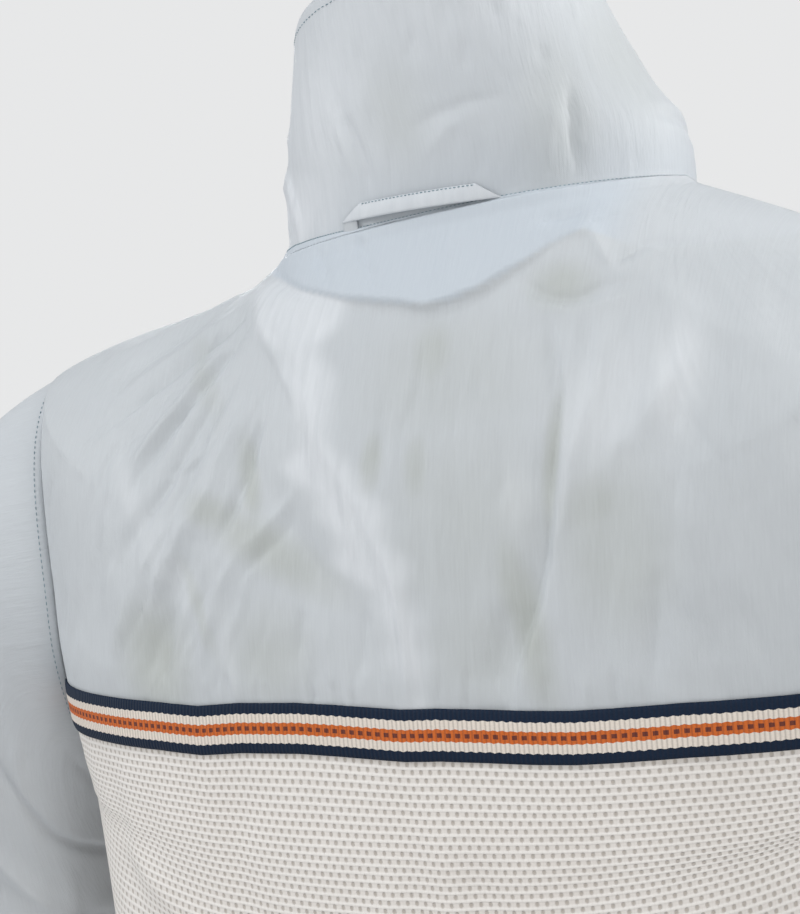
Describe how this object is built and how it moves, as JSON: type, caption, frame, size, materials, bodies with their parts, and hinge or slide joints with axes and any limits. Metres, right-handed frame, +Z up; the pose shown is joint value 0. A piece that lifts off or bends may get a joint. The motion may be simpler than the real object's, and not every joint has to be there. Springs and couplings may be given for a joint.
{
  "type": "rain jacket",
  "caption": "Zipped light rain jacket with a tall stand collar, a hanger loop, a mesh body below a striped ribbon, worn and hollow.",
  "frame": {"origin": "inside the neck opening, midway between the shoulders and level with the side points of the neck seam, where the jacket hangs from the wearer's shoulders", "axes": "+Z up; the front faces -Y and the back +Y; the wearer's left is +X"},
  "size_m": [0.738, 0.2723, 0.755],
  "materials": {
    "pale_blue_shell": "fine crisp pale blue shell cloth with a slight sheen",
    "cream_mesh": "off-white fabric with rows of small eyelet holes",
    "striped_ribbon": "ribbed ribbon striped navy, cream, orange, cream, navy",
    "zip_tape": "woven tape with moulded teeth in the same pale blue",
    "zip_metal": "satin metal"
  },
  "bodies": {
    "jacket": {"back_yoke": "pale_blue_shell", "front_yoke_left": "pale_blue_shell", "front_yoke_right": "pale_blue_shell", "collar": "pale_blue_shell", "sleeve_left": "pale_blue_shell", "sleeve_right": "pale_blue_shell", "hanger_loop": "pale_blue_shell", "back_body": "cream_mesh", "front_body_left": "cream_mesh", "front_body_right": "cream_mesh", "ribbon_back": "striped_ribbon", "ribbon_front_left": "striped_ribbon", "ribbon_front_right": "striped_ribbon", "zip_left": "zip_tape", "zip_right": "zip_tape", "zip_slider": "zip_metal"},
    "pull": {"zip_pull": "zip_metal"}
  },
  "joints": [
    {"name": "pull_swing", "type": "hinge", "parent": "jacket", "child": "pull", "pos_m": [-0.00115, -0.0771, 0.0165], "axis": [-0.9949, -0.0009, 0.1009], "range_deg": [0, 165]}
  ]
}
